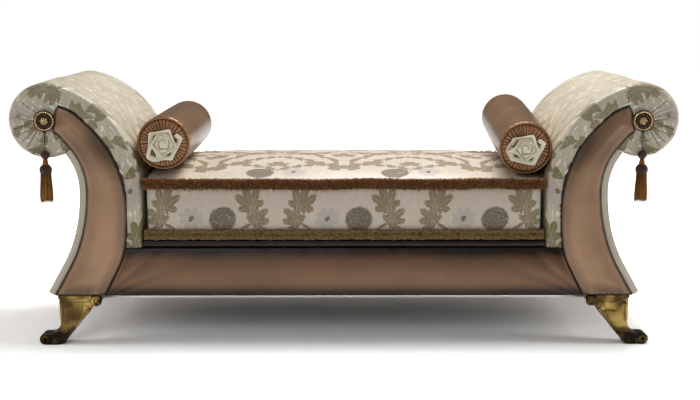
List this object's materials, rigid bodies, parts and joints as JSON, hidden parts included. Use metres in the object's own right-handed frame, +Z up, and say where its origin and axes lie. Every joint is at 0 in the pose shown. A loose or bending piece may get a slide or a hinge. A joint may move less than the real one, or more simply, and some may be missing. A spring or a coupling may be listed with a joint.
{
  "type": "recamier",
  "caption": "Backless upholstered recamier with rolled scroll arms, a loose fringed seat cushion, loose bolsters, hanging tassels and carved scroll feet.",
  "frame": {"origin": "middle of the bench on the floor, at the level of the soles of the feet", "axes": "+X along the bench to the sitter-facing viewer's right, +Y from front to back, +Z up"},
  "size_m": [1.996, 0.7226, 0.8035],
  "materials": {
    "gilt_brass": "antique gilt with dark recesses",
    "steel_bolt": "zinc-plated",
    "frame_wood": "sawn beech and plywood",
    "webbing": "woven jute webbing",
    "dust_cloth": "black non-woven cloth",
    "bronze_satin": "bronze-brown satin",
    "damask_brocade": "ivory floral damask brocade",
    "ivory_cloth": "plain ivory cloth",
    "brown_fringe": "rust-brown brush fringe",
    "olive_fringe": "olive-brown brush fringe",
    "rose_silk": "pale olive silk",
    "copper_satin": "copper-beige satin",
    "beaded_braid": "brown braid with gold beads",
    "brown_cord": "twisted dark brown cord",
    "tassel_binding": "dark brown netted cord",
    "golden_thread": "golden-brown rayon thread"
  },
  "bodies": {
    "bench": {"deck_pad": "bronze_satin", "dust_cover": "dust_cloth", "foot_bolts": "steel_bolt", "front_rail": "frame_wood", "front_rail_cover": "bronze_satin", "left_arm_battens": "frame_wood", "left_arm_front_panel": "frame_wood", "left_arm_pad": "damask_brocade", "left_arm_rear_panel": "frame_wood", "left_cross_slat": "frame_wood", "left_end_rail": "frame_wood", "left_front_corner_block": "frame_wood", "left_front_facing": "bronze_satin", "left_front_foot": "gilt_brass", "left_front_rosette": "beaded_braid", "left_outer_cover": "ivory_cloth", "left_rear_corner_block": "frame_wood", "left_rear_facing": "bronze_satin", "left_rear_foot": "gilt_brass", "left_rear_rosette": "beaded_braid", "rear_rail": "frame_wood", "rear_rail_cover": "bronze_satin", "right_arm_battens": "frame_wood", "right_arm_front_panel": "frame_wood", "right_arm_pad": "damask_brocade", "right_arm_rear_panel": "frame_wood", "right_cross_slat": "frame_wood", "right_end_rail": "frame_wood", "right_front_corner_block": "frame_wood", "right_front_facing": "bronze_satin", "right_front_foot": "gilt_brass", "right_front_rosette": "beaded_braid", "right_outer_cover": "ivory_cloth", "right_rear_corner_block": "frame_wood", "right_rear_facing": "bronze_satin", "right_rear_foot": "gilt_brass", "right_rear_rosette": "beaded_braid", "seat_webbing": "webbing"},
    "seat_cushion": {"seat_cushion": "damask_brocade", "cushion_top_fringe": "brown_fringe", "cushion_bottom_fringe": "olive_fringe"},
    "left_bolster": {"left_bolster": "copper_satin", "left_bolster_front_end": "copper_satin", "left_bolster_front_rose": "rose_silk", "left_bolster_rear_end": "copper_satin", "left_bolster_rear_rose": "rose_silk"},
    "left_tassel_cord": {"left_tassel_cord": "brown_cord"},
    "left_tassel": {"left_tassel_head": "tassel_binding", "left_tassel_skirt": "golden_thread"},
    "right_bolster": {"right_bolster": "copper_satin", "right_bolster_front_end": "copper_satin", "right_bolster_front_rose": "rose_silk", "right_bolster_rear_end": "copper_satin", "right_bolster_rear_rose": "rose_silk"},
    "right_tassel_cord": {"right_tassel_cord": "brown_cord"},
    "right_tassel": {"right_tassel_head": "tassel_binding", "right_tassel_skirt": "golden_thread"}
  },
  "joints": [
    {"name": "cushion_lift", "type": "slide", "parent": "bench", "child": "seat_cushion", "axis": [0, 0, 1], "range_m": [0, 0.25]},
    {"name": "left_bolster_lift", "type": "slide", "parent": "seat_cushion", "child": "left_bolster", "axis": [0, 0, 1], "range_m": [0, 0.25]},
    {"name": "left_tassel_swing", "type": "hinge", "parent": "bench", "child": "left_tassel_cord", "pos_m": [-0.88702, -0.35, 0.6605], "axis": [0, 1, 0], "range_deg": [-15, 45]},
    {"name": "left_tassel_tilt", "type": "hinge", "parent": "left_tassel_cord", "child": "left_tassel", "pos_m": [-0.88702, -0.35, 0.60699], "axis": [-1, 0, 0], "range_deg": [-6, 40]},
    {"name": "right_bolster_lift", "type": "slide", "parent": "seat_cushion", "child": "right_bolster", "axis": [0, 0, 1], "range_m": [0, 0.25]},
    {"name": "right_tassel_swing", "type": "hinge", "parent": "bench", "child": "right_tassel_cord", "pos_m": [0.88702, -0.35, 0.6605], "axis": [0, -1, 0], "range_deg": [-15, 45]},
    {"name": "right_tassel_tilt", "type": "hinge", "parent": "right_tassel_cord", "child": "right_tassel", "pos_m": [0.88702, -0.35, 0.60699], "axis": [-1, 0, 0], "range_deg": [-6, 40]}
  ]
}
